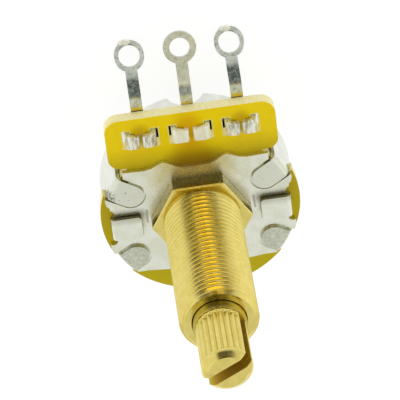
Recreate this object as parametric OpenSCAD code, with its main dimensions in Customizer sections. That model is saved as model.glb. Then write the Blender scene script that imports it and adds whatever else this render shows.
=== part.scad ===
// Rotary potentiometer, 24 mm size, with a long threaded bushing and a split knurled shaft.
// The origin is on the shaft axis, at the front face of the hexagonal flange, where the panel
// seats. +Z runs along the shaft out of the panel, and +Y points to the solder lugs.

/* [Bushing] */
// Size across the flats of the hexagonal flange
hex_af = 10.6; // [10:0.1:12]
// Height of the hexagonal flange above the front plate
hex_h = 2.1; // [1.4:0.1:2.6]
// Outer diameter of the bushing thread
thread_d = 9.4; // [9:0.05:9.6]
// Length of the bushing from the panel seat to its end
bushing_len = 19.4; // [9:0.1:24]
// Radial depth of the chamfer at the end of the bushing
end_chamfer = 0.6; // [0.4:0.05:1.2]
// Length of that chamfer along the bushing
end_chamfer_len = 0.4; // [0.3:0.05:1.2]
// Outer diameter of the staked rim behind the plate
stake_d = 10; // [9.6:0.1:10.6]
// Thickness of the staked rim
stake_t = 0.35; // [0.2:0.05:0.45]

/* [Shaft] */
// Diameter of the plain shaft
shaft_d = 6.35; // [6:0.05:6.4]
// Running clearance between shaft and bushing, on the radius
shaft_clear = 0.07; // [0.03:0.01:0.1]
// Length of plain shaft that shows beyond the bushing
collar_out = 1.25; // [0.5:0.05:3]
// Outer diameter of the knurled end
knurl_d = 6; // [5.8:0.05:6.1]
// Length of the knurled end up to its chamfer
knurl_len = 7.2; // [5:0.2:9]
// Number of grooves in the knurl
knurl_count = 24; // [18:1:24]
// Depth of the knurl grooves
knurl_depth = 0.24; // [0.1:0.02:0.3]
// Length and depth of the chamfer at the shaft tip
tip_chamfer = 0.9; // [0.4:0.05:1]
// Width of the saw slot
slot_w = 1.3; // [0.8:0.05:1.4]
// Depth of the saw slot from the tip
slot_depth = 8; // [5:0.2:8.8]
// Direction of the saw slot in the middle of the travel, from +X
slot_angle = 28; // [-90:1:90]

/* [Front plate] */
// Thickness of the front plate
plate_t = 0.65; // [0.5:0.05:0.9]
// Distance from the axis to the folded edge of the side tongues
tongue_reach = 10.95; // [10.6:0.05:11.2]
// Length of each folded tongue along X
tongue_len = 3.7; // [3:0.1:4.2]
// Width of each folded tongue along Y
tongue_w = 3.05; // [2.4:0.05:3.2]
// Y position of the middle of the folded tongues
tongue_y = -0.65; // [-0.8:0.05:-0.4]
// Thin gap left inside the fold
hem_gap = 0.1; // [0.05:0.05:0.15]

/* [Can] */
// Outer diameter of the can
can_d = 23.3; // [23:0.1:23.6]
// Depth of the can behind the board
can_depth = 7.05; // [6.6:0.05:9]
// Sheet thickness of the can and its tabs
can_t = 0.5; // [0.4:0.05:0.6]
// Outer radius of the bend round the back
can_bend = 1.5; // [0.8:0.1:2]
// Radius of the stop dent at 12 o'clock
dent_r = 2.4; // [1.6:0.1:2.6]
// How far the centre of the dent stands outside the can wall
dent_out = 0.9; // [0.7:0.1:1.2]
// Width of the two upper tabs
upper_tab_w = 3.1; // [2.6:0.1:3.4]
// Width of the two lower tabs
lower_tab_w = 3.2; // [2.6:0.1:3.4]
// Gap between a tab and the plate notch round it
tab_gap = 0.25; // [0.15:0.05:0.35]
// Height of the upper tabs above the front of the plate
upper_tab_proud = 0.15; // [0.05:0.05:0.3]
// Height of the lower tabs above the front of the plate
lower_tab_proud = 0.4; // [0.05:0.05:0.45]

/* [Board] */
// Diameter of the round part of the board
board_d = 24.2; // [24:0.1:25]
// Thickness of the board
board_t = 1.55; // [1:0.05:2]
// Width of the terminal end of the board
terminal_end_w = 20.5; // [20:0.1:21.5]
// Distance from the axis to the terminal edge
terminal_end_y = 14.4; // [14:0.1:15.5]
// Diameter of the hole in the middle of the board
board_hole_d = 11.2; // [10.8:0.1:11.4]

/* [Terminals] */
// Distance between neighbouring terminals
lug_pitch = 6; // [5.6:0.1:6.2]
// Sheet thickness of the terminals
lug_t = 0.5; // [0.3:0.05:0.6]
// Width of the lug strips
lug_w = 1.45; // [1.2:0.05:1.8]
// Distance from the board edge to the eye, along the strip
lug_len = 7.2; // [6.4:0.2:9]
// Outer diameter of the middle eye
eye_d = 3.95; // [3.7:0.05:4.2]
// Hole diameter of the middle eye
eye_hole_d = 2.4; // [2.2:0.05:2.7]
// Outer width of the two outer eyes
side_eye_d = 3.55; // [3.4:0.05:4]
// Hole width of the two outer eyes
side_eye_hole_d = 2.5; // [2.4:0.05:2.7]
// Extra length of the outer eyes, which are slightly oval
side_eye_stretch = 0.3; // [0.1:0.05:0.5]
// Distance from the axis to the middle of the crimp tabs
crimp_y = 11.5; // [11.2:0.05:11.7]
// Size of the crimp tabs along Y
crimp_w = 1.9; // [1.7:0.05:2.4]
// Height of the crimp tabs above the front of the board
crimp_h = 0.75; // [0.6:0.05:1]

/* [Rotor] */
// Turn of the shaft from stop to stop, in degrees
travel = 300; // [280:1:305]
// Diameter of the rotor disc
rotor_d = 18.4; // [17:0.1:18.6]
// Thickness of the rotor disc
rotor_t = 2; // [1.2:0.1:2.4]
// Diameter of the rotor hub
hub_d = 8.8; // [7.6:0.1:9.4]
// Outer diameter of the resistance track
track_out_d = 18.2; // [17.4:0.1:18.4]
// Width of the resistance track
track_w = 1.6; // [1.2:0.1:1.8]
// Thickness of the resistance track
track_t = 0.1; // [0.05:0.01:0.12]
// Width of the collector ring, which lies inside the track
collector_w = 1.1; // [0.9:0.05:1.2]
// Thickness of the spring sheet of the wiper
wiper_t = 0.2; // [0.15:0.01:0.25]

/* [Hidden] */
$fn = 96;
// Overlap that makes a cut pass right through
eps = 0.01;
// Clearance of pieces that are pressed, staked or clipped together
seat_clear = 0.02;

// Heights, from front to back
plate_z = -hex_h;
board_z = plate_z - plate_t;
rim_z = board_z - board_t;
can_back_z = rim_z - can_depth;
terminal_back_z = rim_z - lug_t;
stake_z = board_z - stake_t;
tip_z = bushing_len + collar_out + knurl_len + tip_chamfer;

// Plate
plate_ear_x = 11.3;
plate_corner_x = 8.8;
plate_top_y = 7.15;
plate_foot_y = -7.75;
ledge_len = 1;
relief_r = 0.55;
pad_corner_r = 0.45;
bushing_tail_d = 9;

// Can tabs: distance and direction of the centre of the round tip, and turn of the tab
can_r = can_d / 2;
can_in_r = can_r - can_t;
upper_tip = [8.93, 25];
upper_turn = 33;
lower_tip = [9.9, -32];
lower_turn = -32;
tab_bend = 0.75;
window_x = 8.5;
window_depth = 1.4;
dent_top = 1.9;
boss_flare = 0.6;

// Board
board_corner_r = 1.8;
board_shoulder_r = 1.5;
board_shoulder_y = 7.4;
board_notch_r = can_in_r - 0.16;
notch_high = 4.2;

// Terminals
side_reach = 1.87;
middle_reach = 2.3;
crimp_slack = 0.28;
crimp_slot_gap = 0.28;
crimp_slot_in = 0.1;
crimp_bend = 0.6;
crimp_taper = 0.35;
side_tip_gap = 0.2;
middle_tip_gap = 0.5;
terminal_top_y = crimp_y + crimp_w / 2 + 0.5;
terminal_foot_y = 9.3;
middle_strap_w = 2.4;
foot_w = 2.6;
track_gap_angle = 16;
collector_gap = 0.5;
track_in_d = track_out_d - 2 * track_w;
collector_out_d = track_in_d - 2 * collector_gap;
collector_in_d = collector_out_d - 2 * collector_w;

// Plain stretch between the collar and the grooves of the knurl
knurl_gap = 0.12;
// Turn of the knurl in the middle of the travel
knurl_turn = 4.8;

// Rotor and what it carries
stop_clear = 0.3;
boss_r = dent_r + can_t;
boss_y = can_r + dent_out;
rotor_front = 2.1;
rotor_front_z = rim_z - rotor_front;
rotor_back_z = rotor_front_z - rotor_t;
hub_front_z = rim_z - 0.2;
hub_back_z = rotor_back_z - 1.1;
ear_r = boss_y - boss_r + 0.75;
boss_half = acos((ear_r * ear_r + boss_y * boss_y - boss_r * boss_r) / (2 * ear_r * boss_y));
ear_half = 180 - travel / 2 - boss_half - stop_clear;
spindle_d = 4.4;
spindle_flat = 1.6;
rivet_d = 6;
rivet_t = 0.4;
pip_d = 2.4;
pip_gap = 0.25;
ring_gap = 0.1;
ring_t = 0.6;
ring_d = 8.8;
groove_d = 4.8;
wiper_ring_d = 12.6;
wiper_arm_w = 2.2;
contact_gap = 0.06;

// Lug paths: [length, turn] of each stretch, from the edge of the board to the eye. The lengths
// are shares of the lug's own length.
foot_len = 0.18 * lug_len;
side_bend_len = 0.153 * lug_len;
side_drop_len = 0.18 * lug_len;
side_back_len = 0.125 * lug_len;
middle_bend_len = 0.167 * lug_len;
side_bend = [[foot_len, 0], [side_bend_len, 75], [side_drop_len, 0], [side_back_len, -23],
             [lug_len - foot_len - side_bend_len - side_drop_len - side_back_len, 0]];
middle_bend = [[foot_len, 0], [middle_bend_len, 19], [lug_len - foot_len - middle_bend_len, 0]];
bend_steps = 6;

// Colours
nickel = [0.80, 0.81, 0.76];
tin = [0.76, 0.78, 0.74];
zinc = [0.88, 0.89, 0.87];
brass = [0.88, 0.74, 0.32];
laminate = [0.87, 0.78, 0.08];

function polar(p) = p[0] * [cos(p[1]), sin(p[1])];

// A strip with a round inner end, which runs outwards from the point tip
module tongue_2d(tip, turn, r, start = 0) {
    translate(polar(tip)) rotate(turn) {
        if (start == 0) circle(r);
        translate([start, -r]) square([8, 2 * r]);
    }
}

module both_sides() {
    children();
    mirror([1, 0, 0]) children();
}

// Shape of the upper or lower pair of can tabs, or of the notches round them
module upper_tabs(gap = 0, start = 0)
    both_sides() tongue_2d(upper_tip, upper_turn, upper_tab_w / 2 + gap, start);

module lower_tabs(gap = 0, start = 0)
    both_sides() tongue_2d(lower_tip, lower_turn, lower_tab_w / 2 + gap, start);

module rounded_2d(x0, x1, y0, y1, r_low, r_high) {
    translate([x0, y0 + r_low]) square([x1 - x0, y1 - y0 - r_low - r_high]);
    translate([x0 + r_low, y0]) square([x1 - x0 - 2 * r_low, r_low + eps]);
    translate([x0 + r_high, y1 - r_high - eps]) square([x1 - x0 - 2 * r_high, r_high + eps]);
    for (x = [x0 + r_low, x1 - r_low]) translate([x, y0 + r_low]) circle(r_low);
    for (x = [x0 + r_high, x1 - r_high]) translate([x, y1 - r_high]) circle(r_high);
}

// Front plate: a stamping with a waved top edge, four ears and two tongues folded flat

module plate_outline() {
    half = [
        [0, 6.85], [1.6, 6.9], [2.4, 7.2], [3.3, 7.8], [3.8, 7.98], [4.3, 7.82], [5.3, 7.32],
        [6.2, plate_top_y], [plate_corner_x, plate_top_y + 0.1], [plate_corner_x, 5.8],
        [plate_ear_x - 0.1, 3.95], [plate_ear_x, 3.3], [plate_ear_x - 0.12, 2.7],
        [tongue_reach - 0.1, 2.3], [tongue_reach - 0.1, -2.6], [plate_ear_x - 0.1, -3],
        [plate_ear_x, -3.6], [plate_ear_x - 0.2, -4.4], [8.9, -7.1], [8.5, plate_foot_y],
        [7.2, plate_foot_y], [5.2, plate_foot_y - 0.2], [2.6, plate_foot_y - 0.5],
        [0, plate_foot_y - 0.6]
    ];
    both_sides() polygon(half);
}

module relief_bites() {
    bite_y = tongue_w / 2 + relief_r * 0.9;
    for (y = [tongue_y + bite_y, tongue_y - bite_y])
        both_sides() translate([tongue_reach, y]) circle(relief_r);
}

module folded_tongue() {
    low = tongue_y - tongue_w / 2;
    high = tongue_y + tongue_w / 2;
    inner = tongue_reach - tongue_len;
    difference() {
        translate([0, 0, board_z]) linear_extrude(2 * plate_t) difference() {
            translate([inner, low]) square([tongue_len, tongue_w]);
            for (y = [low, high])
                difference() {
                    translate([inner - eps, y - pad_corner_r]) square([pad_corner_r, 2 * pad_corner_r]);
                    translate([inner + pad_corner_r, tongue_y]) rounded_2d(-pad_corner_r, 2,
                        -tongue_w / 2, tongue_w / 2, pad_corner_r, pad_corner_r);
                }
        }
        // Round outside of the fold
        translate([tongue_reach - plate_t, 0, plate_z]) rotate([90, 0, 0])
            translate([0, 0, -5]) linear_extrude(10) difference() {
                translate([0, -1]) square([2, 2]);
                circle(plate_t);
            }
        // Seam inside the fold
        translate([inner - eps, low - eps, plate_z])
            cube([tongue_len - plate_t, tongue_w + 2 * eps, hem_gap]);
    }
}

module front_plate() color(nickel) {
    difference() {
        translate([0, 0, board_z]) linear_extrude(plate_t) difference() {
            plate_outline();
            circle(d = bushing_tail_d + 2 * seat_clear);
            relief_bites();
            upper_tabs(tab_gap, ledge_len);
            lower_tabs(tab_gap, ledge_len);
        }
        // Ledges under the tips of the tabs
        translate([0, 0, plate_z + upper_tab_proud - can_t]) linear_extrude(plate_t) upper_tabs(tab_gap);
        translate([0, 0, plate_z + lower_tab_proud - can_t]) linear_extrude(plate_t) lower_tabs(tab_gap);
        both_sides() translate([tongue_reach - 1, tongue_y - tongue_w / 2 - eps, board_z - eps])
            cube([2, tongue_w + 2 * eps, plate_t + 2 * eps]);
    }
    both_sides() folded_tongue();
}

// Bushing: hexagonal flange, threaded barrel and a tail staked through the plate

module bushing() color(brass) difference() {
    union() {
        translate([0, 0, plate_z]) cylinder(d = hex_af / cos(30), h = hex_h, $fn = 6);
        barrel = bushing_len - end_chamfer_len;
        translate([0, 0, -eps]) cylinder(d = thread_d, h = barrel + eps);
        translate([0, 0, barrel])
            cylinder(d1 = thread_d, d2 = thread_d - 2 * end_chamfer, h = end_chamfer_len);
        translate([0, 0, board_z - eps]) cylinder(d = bushing_tail_d, h = plate_t + 2 * eps);
        translate([0, 0, stake_z]) cylinder(d = stake_d, h = stake_t);
    }
    translate([0, 0, stake_z - eps])
        cylinder(d = shaft_d + 2 * shaft_clear, h = bushing_len - stake_z + 2 * eps);
}

// Shaft: knurled and split at the front, grooved and staked at the back

module knurl_grooves() {
    side = knurl_depth * sqrt(2);
    for (i = [0:knurl_count - 1])
        rotate(i * 360 / knurl_count + knurl_turn)
            translate([knurl_d / 2, 0, bushing_len + collar_out + knurl_gap])
                rotate(45) translate([-side / 2, -side / 2, 0]) cube([side, side, knurl_len + tip_chamfer]);
}

module shaft_round() {
    knurl_z = bushing_len + collar_out;
    shoulder_z = hub_front_z;
    translate([0, 0, shoulder_z]) cylinder(d = shaft_d, h = knurl_z - shoulder_z);
    translate([0, 0, knurl_z - eps]) cylinder(d = knurl_d, h = knurl_len + eps);
    translate([0, 0, knurl_z + knurl_len])
        cylinder(d1 = knurl_d, d2 = knurl_d - 2 * tip_chamfer, h = tip_chamfer);
}

module spindle() {
    difference() {
        translate([0, 0, hub_back_z - eps]) cylinder(d = spindle_d, h = hub_front_z - hub_back_z + 2 * eps);
        spindle_flats(0);
    }
    translate([0, 0, hub_back_z - rivet_t]) cylinder(d = rivet_d, h = rivet_t);
    pip_z = can_back_z + can_t + pip_gap;
    translate([0, 0, pip_z]) cylinder(d = pip_d, h = hub_back_z - pip_z);
}

// Space outside the two flats of the spindle
module spindle_flats(clear) {
    depth = hub_front_z - hub_back_z;
    for (a = [0, 180]) rotate(a)
        translate([-spindle_d, spindle_flat + clear, hub_back_z]) cube([2 * spindle_d, spindle_d, depth]);
}

module shaft() color(brass) {
    groove_z = stake_z - ring_gap - ring_t;
    difference() {
        shaft_round();
        knurl_grooves();
        rotate(slot_angle) translate([-knurl_d, -slot_w / 2, tip_z - slot_depth])
            cube([2 * knurl_d, slot_w, slot_depth + eps]);
        translate([0, 0, groove_z - seat_clear]) difference() {
            cylinder(d = shaft_d + 1, h = ring_t + 2 * seat_clear);
            translate([0, 0, -eps]) cylinder(d = groove_d, h = ring_t + 1);
        }
    }
    spindle();
}

// Retaining ring: an open ring in the shaft groove, behind the staked rim

module retaining_ring() color(zinc)
    translate([0, 0, stake_z - ring_gap - ring_t]) linear_extrude(ring_t) difference() {
        circle(d = ring_d);
        circle(d = groove_d + 2 * seat_clear);
        translate([-groove_d * 0.4, -ring_d]) square([groove_d * 0.8, ring_d]);
    }

// Can: a drawn cup with a stop dent and four tabs folded over the plate

module can_profile(r, back, bend) {
    translate([0, back + bend]) square([r, rim_z - back - bend]);
    translate([0, back]) square([r - bend, bend + eps]);
    translate([r - bend, back + bend]) circle(bend);
}

module can_solid(r, back, bend) rotate_extrude() intersection() {
    can_profile(r, back, bend);
    translate([0, back - 1]) square([r + 1, rim_z - back + 1]);
}

// Space of the stop dent: a round column with a flare that rounds the edge of the back
module dent_column() {
    low = can_back_z - 1;
    translate([0, boss_y, 0]) rotate_extrude() difference() {
        union() {
            translate([0, low]) square([dent_r, rim_z - dent_top - low]);
            translate([0, low]) square([dent_r + can_bend, can_bend + 1]);
        }
        translate([dent_r + can_bend, can_back_z + can_bend]) circle(can_bend);
    }
}

// The dent seen from inside the can, where it is a boss that stops the rotor
module dent_boss() {
    floor_z = can_back_z + can_t;
    translate([0, boss_y, 0]) rotate_extrude()
        polygon([[0, floor_z - 1], [boss_r + boss_flare + 1, floor_z - 1], [boss_r, floor_z + boss_flare],
                 [boss_r, rim_z - dent_top + can_t], [0, rim_z - dent_top + can_t]]);
}

// Space outside the rounded corner between the wall and the dent, on one side
module dent_corner_space() {
    far = can_r - can_bend;
    y = (far * far + boss_y * boss_y - pow(dent_r + can_bend, 2)) / (2 * boss_y);
    x = sqrt(far * far - y * y);
    out = 3 * can_bend * [x, y] / far;
    in = 3 * can_bend * [-x, boss_y - y] / (dent_r + can_bend);
    translate([x, y, can_back_z]) difference() {
        translate([0, 0, -1]) linear_extrude(rim_z - dent_top - can_back_z + 1)
            polygon([[0, 0], out, out + in, in]);
        translate([0, 0, -2]) cylinder(r = can_bend, h = can_depth + 2);
    }
}

// Solid cup with the dent pressed in
module dented_cup() difference() {
    can_solid(can_r, can_back_z, can_bend);
    dent_column();
    both_sides() dent_corner_space();
}

// Tabs of the shape in children(), with their tops at height top_z
module can_tabs(top_z) {
    inner_r = tab_bend - can_t;
    neck_z = rim_z - 1;
    intersection() {
        rotate_extrude() difference() {
            translate([0, neck_z]) square([can_r, top_z - neck_z]);
            // Round outside of the bend
            translate([can_r - tab_bend, top_z - tab_bend]) difference() {
                square(2 * tab_bend);
                circle(tab_bend);
            }
            // Space under the tab, with a round inside corner
            translate([-1, neck_z - 1]) square([can_in_r - inner_r + 1, top_z - can_t - neck_z + 1]);
            translate([-1, neck_z - 1]) square([can_in_r + 1, top_z - tab_bend - neck_z + 1]);
            translate([can_r - tab_bend, top_z - tab_bend]) circle(inner_r);
        }
        translate([0, 0, neck_z]) linear_extrude(top_z - neck_z) children();
    }
}

module can() color(zinc) {
    difference() {
        dented_cup();
        difference() {
            can_solid(can_in_r, can_back_z + can_t, can_bend - can_t);
            dent_boss();
        }
        // Window behind the terminals
        translate([-window_x, 5, rim_z - window_depth]) cube([2 * window_x, 10, window_depth + 1]);
    }
    can_tabs(plate_z + upper_tab_proud) upper_tabs();
    can_tabs(plate_z + lower_tab_proud) lower_tabs();
}

// Board: round laminate with a wide terminal end, notches for the tabs and slots for the crimps

module crimp_slots() {
    for (x = [-lug_pitch, lug_pitch]) translate([x, crimp_y]) slot_pair(side_reach);
    translate([0, crimp_y]) slot_pair(middle_reach);
}

module slot_pair(reach) {
    slot_x = reach - lug_t - crimp_slot_in;
    both_sides() translate([slot_x, -crimp_w / 2 - crimp_slot_gap])
        square([reach + crimp_slack - slot_x, crimp_w + 2 * crimp_slot_gap]);
}

module board() color(laminate) translate([0, 0, rim_z]) linear_extrude(board_t) difference() {
    union() {
        difference() {
            circle(d = board_d);
            difference() {
                both_sides() {
                    translate(polar(upper_tip)) rotate(upper_turn)
                        translate([0, -upper_tab_w / 2 - tab_gap]) square([8, notch_high + upper_tab_w / 2]);
                    tongue_2d(lower_tip, lower_turn, lower_tab_w / 2 + tab_gap);
                }
                circle(board_notch_r);
            }
        }
        rounded_2d(-terminal_end_w / 2, terminal_end_w / 2, board_shoulder_y, terminal_end_y,
            board_shoulder_r, board_corner_r);
    }
    circle(d = board_hole_d);
    crimp_slots();
}

// Resistance track: an open ring on the back of the board, with a foot at each outer terminal

module resistance_track() color([0.12, 0.12, 0.13])
    translate([0, 0, rim_z - track_t]) linear_extrude(track_t) difference() {
        union() {
            circle(d = track_out_d);
            for (x = [-lug_pitch, lug_pitch])
                translate([x - foot_w / 2, 0]) square([foot_w, terminal_foot_y]);
        }
        circle(d = track_in_d);
        polygon([[0, 0], for (a = [-track_gap_angle, track_gap_angle]) 20 * [sin(a), cos(a)]]);
    }

// Terminals: stamped strips with two crimp tabs and a bent solder lug

// Points of a bent strip in the Y and Z plane, one for each step of each stretch
function walk(stretches, p, a, i = 0, k = 0) =
    i == len(stretches) ? [concat(p, a)]
    : let (step = stretches[i][0] / bend_steps, half = stretches[i][1] / bend_steps / 2,
           q = p + step * [cos(a + half), -sin(a + half)])
      concat([concat(p, a)], k == bend_steps - 1 ? walk(stretches, q, a + 2 * half, i + 1, 0)
                                                 : walk(stretches, q, a + 2 * half, i, k + 1));

function strip_outline(points, half_t) = concat(
    [for (q = points) [q[0] + half_t * sin(q[2]), q[1] + half_t * cos(q[2])]],
    [for (i = [len(points) - 1:-1:0]) let (q = points[i])
        [q[0] - half_t * sin(q[2]), q[1] - half_t * cos(q[2])]]);

module lug(stretches, outer_d, hole_d, stretch) {
    points = walk(stretches, [terminal_end_y, rim_z - lug_t / 2], 0);
    last = points[len(points) - 1];
    difference() {
        union() {
            translate([-lug_w / 2, 0, 0]) rotate([90, 0, 90])
                linear_extrude(lug_w) polygon(strip_outline(points, lug_t / 2));
            lug_eye(last, lug_t) eye_2d(outer_d, stretch);
        }
        lug_eye(last, 4 * lug_t) eye_2d(hole_d, stretch);
    }
    translate([-lug_w / 2, terminal_top_y - eps, terminal_back_z])
        cube([lug_w, terminal_end_y - terminal_top_y + 2 * eps, lug_t]);
}

module lug_eye(last, t)
    translate([0, last[0], last[1]]) rotate([-last[2], 0, 0])
        translate([0, 0, -t / 2]) linear_extrude(t) children();

module eye_2d(d, stretch) {
    circle(d = d);
    if (stretch > 0) {
        translate([0, stretch]) circle(d = d);
        translate([-d / 2, 0]) square([d, stretch]);
    }
}

// One crimp tab: a leg through the board, bent over its front face and narrower towards its tip
module crimp_tab(reach, tip_gap) {
    tip = tip_gap / 2;
    top_y = crimp_y + crimp_w / 2;
    difference() {
        translate([0, top_y, 0]) rotate([90, 0, 0]) linear_extrude(crimp_w) crimp_profile(reach, tip);
        translate([0, 0, board_z]) linear_extrude(2 * crimp_h)
            polygon([[-eps, top_y - crimp_taper], [tip, top_y - crimp_taper],
                     [reach - crimp_bend, top_y], [reach - crimp_bend, top_y + 1], [-eps, top_y + 1]]);
    }
}

// Side view of a crimp tab: the leg, the bend and the flat top that is curled down at its tip
module crimp_profile(reach, tip) {
    top_z = board_z + crimp_h;
    translate([reach - lug_t, terminal_back_z])
        square([lug_t, top_z - crimp_bend - terminal_back_z]);
    translate([reach - crimp_bend, top_z - crimp_bend]) intersection() {
        difference() {
            circle(crimp_bend);
            circle(crimp_bend - lug_t);
        }
        translate([0, -eps]) square(crimp_bend);
    }
    translate([tip + lug_t, top_z - lug_t])
        square([reach - crimp_bend - tip - lug_t + eps, lug_t]);
    translate([tip, board_z]) square([lug_t, crimp_h - lug_t]);
    intersection() {
        translate([tip + lug_t, top_z - lug_t]) circle(lug_t);
        translate([tip, top_z - lug_t - eps]) square([lug_t + eps, lug_t + 2 * eps]);
    }
}

module terminal(reach, tip_gap) {
    low_y = crimp_y - crimp_w / 2 - crimp_slot_gap;
    translate([-reach, low_y, terminal_back_z]) cube([2 * reach, terminal_top_y - low_y, lug_t]);
    both_sides() crimp_tab(reach, tip_gap);
}

module side_terminal() color(tin) {
    terminal(side_reach, side_tip_gap);
    lug(side_bend, side_eye_d, side_eye_hole_d, side_eye_stretch);
    translate([-foot_w / 2, terminal_foot_y, terminal_back_z])
        cube([foot_w, crimp_y - terminal_foot_y, lug_t]);
}

module terminal_left() translate([-lug_pitch, 0, 0]) side_terminal();

module terminal_right() translate([lug_pitch, 0, 0]) side_terminal();

// The middle terminal carries the collector ring round the shaft
module terminal_middle() color(tin) {
    terminal(middle_reach, middle_tip_gap);
    lug(middle_bend, eye_d, eye_hole_d, 0);
    translate([0, 0, terminal_back_z]) linear_extrude(lug_t) difference() {
        union() {
            circle(d = collector_out_d);
            translate([-middle_strap_w / 2, 0]) square([middle_strap_w, crimp_y]);
        }
        circle(d = collector_in_d);
    }
}

// Rotor: a moulded carrier with a hub and a stop ear

module rotor() color([0.28, 0.17, 0.10]) difference() {
    union() {
        translate([0, 0, rotor_back_z]) linear_extrude(rotor_t) {
            circle(d = rotor_d);
            rotate(-90) intersection() {
                circle(ear_r);
                polygon([[0, 0], for (a = [-ear_half, ear_half]) 20 * [cos(a), sin(a)]]);
            }
        }
        translate([0, 0, hub_back_z]) cylinder(d = hub_d, h = hub_front_z - hub_back_z);
    }
    difference() {
        translate([0, 0, hub_back_z - eps])
            cylinder(d = spindle_d + 2 * seat_clear, h = hub_front_z - hub_back_z + 2 * eps);
        translate([0, 0, -eps]) spindle_flats(seat_clear);
        spindle_flats(seat_clear);
    }
}

// Wiper spring: a ring on the rotor with two fingers that reach the collector and the track

module wiper_spring() color([0.80, 0.55, 0.30]) {
    translate([0, 0, rotor_front_z]) linear_extrude(wiper_t) {
        difference() {
            circle(d = wiper_ring_d);
            circle(d = hub_d + 2 * seat_clear);
        }
        translate([-wiper_arm_w, -rotor_d / 2 + 0.2])
            difference() {
                square([2 * wiper_arm_w, 3.6]);
                translate([wiper_arm_w - 0.3, -eps]) square([0.6, 2.2]);
            }
    }
    intersection() {
        union() {
            mid_c = (collector_in_d + collector_out_d) / 4;
            mid_t = (track_in_d + track_out_d) / 4;
            translate([-wiper_arm_w / 2 - 0.15, 0, 0])
                wiper_finger(mid_t, rim_z - track_t - contact_gap);
            translate([wiper_arm_w / 2 + 0.15, 0, 0])
                wiper_finger(mid_c, terminal_back_z - contact_gap);
        }
        translate([0, 0, rotor_front_z]) cylinder(d = rotor_d, h = 5);
    }
}

// A sloping finger that starts on the arm near the rotor's edge and rises towards the board
module wiper_finger(r, contact_z) {
    start = rotor_d / 2 - 0.4;
    rotate([90, 0, 90]) translate([0, 0, -wiper_arm_w / 2 + 0.2]) linear_extrude(wiper_arm_w - 0.4)
        polygon([[-start, rotor_front_z], [-start, rotor_front_z + wiper_t],
                 [-r - 0.25, contact_z], [-r + 0.25, contact_z], [-r, contact_z - wiper_t],
                 [-start + 0.5, rotor_front_z]]);
}

can();
front_plate();
bushing();
shaft();
retaining_ring();
rotor();
wiper_spring();
board();
resistance_track();
terminal_left();
terminal_middle();
terminal_right();
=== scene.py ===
"""Looks of a rotary potentiometer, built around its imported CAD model. Lengths are in metres."""

import math

import bmesh
import bpy
from mathutils import Matrix, Vector, noise


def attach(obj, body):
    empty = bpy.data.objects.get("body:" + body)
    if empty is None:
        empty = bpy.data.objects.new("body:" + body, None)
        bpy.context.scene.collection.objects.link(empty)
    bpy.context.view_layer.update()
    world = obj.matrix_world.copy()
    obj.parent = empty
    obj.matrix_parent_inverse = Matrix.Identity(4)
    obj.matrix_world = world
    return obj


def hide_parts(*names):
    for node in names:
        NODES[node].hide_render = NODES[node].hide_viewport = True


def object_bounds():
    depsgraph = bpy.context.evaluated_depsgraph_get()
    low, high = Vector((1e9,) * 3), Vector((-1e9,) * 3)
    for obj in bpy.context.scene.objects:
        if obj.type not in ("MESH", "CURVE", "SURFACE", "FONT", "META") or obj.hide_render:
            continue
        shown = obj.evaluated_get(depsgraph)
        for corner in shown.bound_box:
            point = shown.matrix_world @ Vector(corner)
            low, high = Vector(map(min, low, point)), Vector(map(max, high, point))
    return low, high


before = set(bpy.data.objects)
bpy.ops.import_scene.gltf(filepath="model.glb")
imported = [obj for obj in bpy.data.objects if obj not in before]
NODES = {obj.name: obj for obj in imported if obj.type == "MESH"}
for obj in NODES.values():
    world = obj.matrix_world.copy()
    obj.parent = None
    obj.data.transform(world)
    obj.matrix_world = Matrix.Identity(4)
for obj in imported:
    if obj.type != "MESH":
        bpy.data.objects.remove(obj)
cad_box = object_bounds()

MM = 0.001

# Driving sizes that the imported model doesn't state, in millimetres
THREAD_R = 4.70
THREAD_PITCH = 25.4 / 32
THREAD_DEPTH = 0.47
THREAD_ROOT = 0.16
BUSHING_LEN = 19.4
END_CHAMFER = 0.6
END_CHAMFER_LEN = 0.4
BORE_R = 3.245
HEX_APOTHEM = 5.3
HEX_H = 2.1
PLATE_T = 0.65
TAIL_R = 4.5
STAKE_R = 5.0
STAKE_T = 0.35
SHAFT_R = 3.175
KNURL_R = 3.0
KNURL_COUNT = 24
KNURL_DEPTH = 0.24
KNURL_TURN = math.radians(4.8)
COLLAR_Z = BUSHING_LEN + 1.25
KNURL_TOP_Z = COLLAR_Z + 7.2
TIP_Z = KNURL_TOP_Z + 0.9
TIP_R = 2.1
SLOT_W = 1.3
SLOT_DEPTH = 8.0
SLOT_ANGLE = 28

# Inner end of the shaft: thrust pip, staked head, neck with two flats, shoulder and ring groove
PIP_Z = -10.6
PIP_R = 1.2
HEAD_Z = -9.9
HEAD_R = 3.0
NECK_Z = -9.5
NECK_R = 2.2
NECK_FLAT = 1.6
SHOULDER_Z = -4.5
GROOVE_Z = (-3.82, -3.18)
GROOVE_R = 2.4

# Teeth of the knurl: lengths over which they rise at the collar and fade at the cone
TOOTH_RISE = 0.4
TOOTH_FADE = 0.2

# Cone of the tip, as shares of its height and depth: bend of its first part, then a straight slope
CONE_BEND = 1.9
CONE_STRAIGHT_AT = 0.62
CONE_DROP = 0.403
CONE_SLOPE = 1.24

# Fineness of the turned meshes: points round the bushing and round each tooth of the shaft
BUSHING_POINTS = 144
TOOTH_POINTS = 8

# Angles in degrees past which an edge stays sharp: turned pieces, and cut or threaded ones
SHARP_TURNED = 38
SHARP_CUT = 30

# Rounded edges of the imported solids: number of steps, and the angle in degrees that makes an edge
EDGE_STEPS = 3
EDGE_ANGLE = 35

# Folded pads of the front plate: inner and outer end along X, top and foot along Y
PAD_IN = 7.25
PAD_OUT = 10.95
PAD_TOP = 0.875
PAD_FOOT = -2.175

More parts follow.
